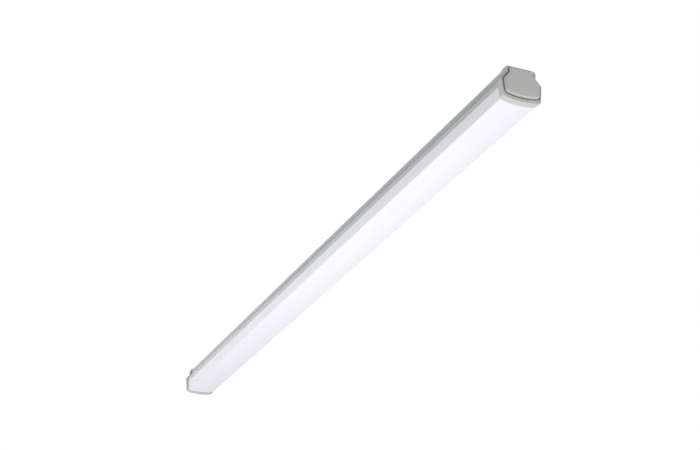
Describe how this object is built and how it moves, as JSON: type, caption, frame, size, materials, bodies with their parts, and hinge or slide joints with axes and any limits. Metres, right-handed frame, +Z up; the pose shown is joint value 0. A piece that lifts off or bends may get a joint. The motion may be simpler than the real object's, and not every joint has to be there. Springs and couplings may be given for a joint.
{
  "type": "vapor tight light fixture",
  "caption": "Slim linear vapor tight light: grey housing extrusion with opal diffuser, closed by end caps, with driver, LED boards and a cable gland inside and at one end.",
  "frame": {"origin": "centre of the housing's flat top, the face that looks at the ceiling", "axes": "+X along the tube towards the end cap without a gland, +Z up towards the ceiling"},
  "size_m": [1.2183, 0.055, 0.0463],
  "materials": {
    "housing": "painted grey, satin",
    "opal": "satin",
    "cap": "matte",
    "silicone": "matte",
    "tray_sheet": "satin",
    "board": "white lacquer, gloss",
    "link": "matte",
    "nylon": "matte",
    "driver": "matte",
    "circuit": "gloss",
    "block": "satin",
    "button": "satin",
    "brass": "tinned and plain",
    "steel": "stainless",
    "gland": "satin",
    "rubber": "matte",
    "brown_insulation": "satin",
    "blue_insulation": "satin",
    "green_insulation": "satin",
    "red_insulation": "satin",
    "black_insulation": "satin"
  },
  "bodies": {
    "fixture": {"housing": "housing", "diffuser": "opal", "left_seal_strip": "silicone", "right_seal_strip": "silicone", "gear_tray": "tray_sheet", "led_board_1": "board", "led_board_2": "board", "led_board_3": "board", "led_board_4": "board", "board_link_1": "link", "board_link_2": "link", "board_link_3": "link", "board_rivet_1": "nylon", "board_rivet_2": "nylon", "board_rivet_3": "nylon", "board_rivet_4": "nylon", "board_rivet_5": "nylon", "board_rivet_6": "nylon", "board_rivet_7": "nylon", "board_rivet_8": "nylon", "driver_case": "driver", "driver_lid": "driver", "driver_circuit_board": "circuit", "driver_screw_1": "steel", "driver_screw_2": "steel", "terminal_block": "block", "terminal_clamp_live": "brass", "terminal_clamp_neutral": "brass", "terminal_clamp_earth": "brass", "live_lead": "brown_insulation", "neutral_lead": "blue_insulation", "earth_lead": "green_insulation", "led_positive_lead": "red_insulation", "led_negative_lead": "black_insulation", "earth_tag": "brass", "earth_screw": "steel"},
    "near_cap": {"near_cap_frame": "cap", "near_gasket": "silicone", "near_cap_screw_1": "steel", "near_cap_screw_2": "steel", "near_cap_screw_3": "steel"},
    "near_cover": {"near_cap_cover": "cap"},
    "far_cap": {"far_cap_frame": "cap", "far_gasket": "silicone", "far_cap_screw_1": "steel", "far_cap_screw_2": "steel", "far_cap_screw_3": "steel", "gland_body": "gland", "gland_washer": "silicone", "gland_locknut": "gland", "gland_seal": "rubber"},
    "far_cover": {"far_cap_cover": "cap"},
    "slip_ring": {"gland_ring": "gland"},
    "dome_nut": {"gland_nut": "gland"},
    "live_button": {"release_button_live": "button"},
    "neutral_button": {"release_button_neutral": "button"},
    "earth_button": {"release_button_earth": "button"}
  },
  "joints": [
    {"name": "near_cap_slide", "type": "slide", "parent": "fixture", "child": "near_cap", "axis": [1, 0, 0], "range_m": [0, 0.03]},
    {"name": "near_cover_slide", "type": "slide", "parent": "near_cap", "child": "near_cover", "axis": [1, 0, 0], "range_m": [0, 0.015]},
    {"name": "far_cap_slide", "type": "slide", "parent": "fixture", "child": "far_cap", "axis": [-1, 0, 0], "range_m": [0, 0.03]},
    {"name": "far_cover_slide", "type": "slide", "parent": "far_cap", "child": "far_cover", "axis": [-1, 0, 0], "range_m": [0, 0.035]},
    {"name": "gland_ring_advance", "type": "slide", "parent": "far_cap", "child": "slip_ring", "axis": [1, 0, 0], "range_m": [0, 0.003]},
    {"name": "gland_nut_turn", "type": "hinge", "parent": "slip_ring", "child": "dome_nut", "pos_m": [-0.6052, 0, -0.016], "axis": [1, 0, 0], "range_deg": [0, 720]},
    {"name": "live_button_press", "type": "slide", "parent": "fixture", "child": "live_button", "axis": [1, 0, 0], "range_m": [0, 0.0015], "stiffness_N_per_m": 300},
    {"name": "neutral_button_press", "type": "slide", "parent": "fixture", "child": "neutral_button", "axis": [1, 0, 0], "range_m": [0, 0.0015], "stiffness_N_per_m": 300},
    {"name": "earth_button_press", "type": "slide", "parent": "fixture", "child": "earth_button", "axis": [1, 0, 0], "range_m": [0, 0.0015], "stiffness_N_per_m": 300}
  ],
  "couplings": [
    {"joint": "gland_nut_turn", "follows": "gland_ring_advance", "rad_per_m": 4188.8}
  ]
}
